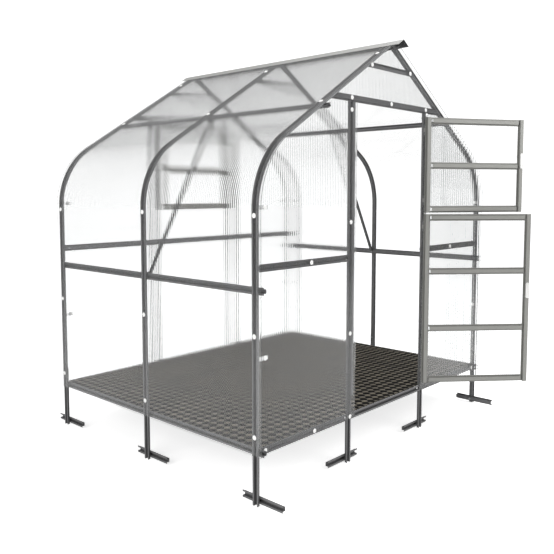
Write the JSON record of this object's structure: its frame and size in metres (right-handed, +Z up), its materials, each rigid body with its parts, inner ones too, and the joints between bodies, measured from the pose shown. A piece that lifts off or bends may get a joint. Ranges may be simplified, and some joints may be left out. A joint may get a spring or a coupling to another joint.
{
  "type": "walk-in greenhouse",
  "caption": "Walk-in greenhouse with bent steel arches on ground anchors, twin-wall sheets, a split door standing open and a rear vent.",
  "frame": {"origin": "on the ground under the middle of the box around the whole object, with the door leaves as stored (open)", "axes": "+X across the gable, towards the door's hinge side; +Y from the front gable to the rear gable; +Z up"},
  "size_m": [2.62, 2.7183, 2.7531],
  "materials": {
    "galvanised_steel": "satin",
    "leaf_steel": "satin",
    "ridge_steel": "satin",
    "twin_wall_sheet": "gloss",
    "clear_clips": "gloss",
    "white_screws": "gloss",
    "zinc_bolts": "satin",
    "latch_alloy": "satin",
    "floor_mesh": "matte",
    "ground_fleece": "matte"
  },
  "bodies": {
    "frame": {"arch_front_left": "galvanised_steel", "arch_front_right": "galvanised_steel", "arch_mid_left": "galvanised_steel", "arch_mid_right": "galvanised_steel", "arch_rear_left": "galvanised_steel", "arch_rear_right": "galvanised_steel", "ground_legs": "galvanised_steel", "anchor_feet": "galvanised_steel", "base_rail_left": "galvanised_steel", "base_rail_right": "galvanised_steel", "base_rails_front": "galvanised_steel", "base_rails_rear": "galvanised_steel", "side_rail_left": "galvanised_steel", "side_rail_right": "galvanised_steel", "purlin_left": "galvanised_steel", "purlin_right": "galvanised_steel", "gable_rails_front": "galvanised_steel", "gable_rails_rear": "galvanised_steel", "ridge_cap": "ridge_steel", "ridge_brackets": "galvanised_steel", "collar_ties": "galvanised_steel", "header_front": "galvanised_steel", "header_rear": "galvanised_steel", "door_posts": "galvanised_steel", "rear_posts": "galvanised_steel", "jamb_strip": "galvanised_steel", "strut_left": "galvanised_steel", "strut_right": "galvanised_steel", "rail_brackets": "galvanised_steel", "gable_clips": "clear_clips", "side_sheet_left": "twin_wall_sheet", "side_sheet_right": "twin_wall_sheet", "front_sheet_left": "twin_wall_sheet", "front_sheet_right": "twin_wall_sheet", "front_sheet_top": "twin_wall_sheet", "rear_sheet_left": "twin_wall_sheet", "rear_sheet_right": "twin_wall_sheet", "rear_sheet_top": "twin_wall_sheet", "rear_sheet_centre": "twin_wall_sheet", "floor_underlay": "ground_fleece", "floor_mesh": "floor_mesh", "sheet_screws": "white_screws", "frame_bolts": "zinc_bolts", "hinge_plates": "galvanised_steel", "hinge_pins": "zinc_bolts"},
    "lower_door": {"lower_stiles": "leaf_steel", "lower_rails_set": "leaf_steel", "lower_sheet": "twin_wall_sheet", "lower_hinges": "leaf_steel"},
    "upper_door": {"upper_stiles": "leaf_steel", "upper_rails_set": "leaf_steel", "upper_sheet": "twin_wall_sheet", "upper_hinges": "leaf_steel"},
    "vent": {"vent_stiles": "leaf_steel", "vent_rails": "leaf_steel", "vent_sheet": "twin_wall_sheet", "vent_hinges": "leaf_steel"},
    "lower_door_latch": {"lower_latch": "latch_alloy"},
    "upper_door_latch": {"upper_latch": "latch_alloy"},
    "rear_vent_latch": {"vent_latch": "latch_alloy"}
  },
  "joints": [
    {"name": "lower_door_hinge", "type": "hinge", "parent": "frame", "child": "lower_door", "pos_m": [0.421, -0.7712, 0.973], "axis": [0, 0, 1], "range_deg": [-136.5, 28.5]},
    {"name": "upper_door_hinge", "type": "hinge", "parent": "frame", "child": "upper_door", "pos_m": [0.421, -0.7712, 1.945], "axis": [0, 0, 1], "range_deg": [-147, 18]},
    {"name": "vent_hinge", "type": "hinge", "parent": "frame", "child": "vent", "pos_m": [0.421, 1.2712, 1.945], "axis": [0, 0, 1], "range_deg": [-110, 0]},
    {"name": "lower_latch_turn", "type": "hinge", "parent": "lower_door", "child": "lower_door_latch", "pos_m": [0.97973, -1.3141, 1.068], "axis": [-0.6884, -0.7254, 0], "range_deg": [0, 90]},
    {"name": "upper_latch_turn", "type": "hinge", "parent": "upper_door", "child": "upper_door_latch", "pos_m": [1.06931, -1.20319, 2.018], "axis": [-0.5446, -0.8387, 0], "range_deg": [0, 90]},
    {"name": "vent_latch_turn", "type": "hinge", "parent": "vent", "child": "rear_vent_latch", "pos_m": [-0.358, 1.262, 2.018], "axis": [0, 1, 0], "range_deg": [0, 90]}
  ]
}
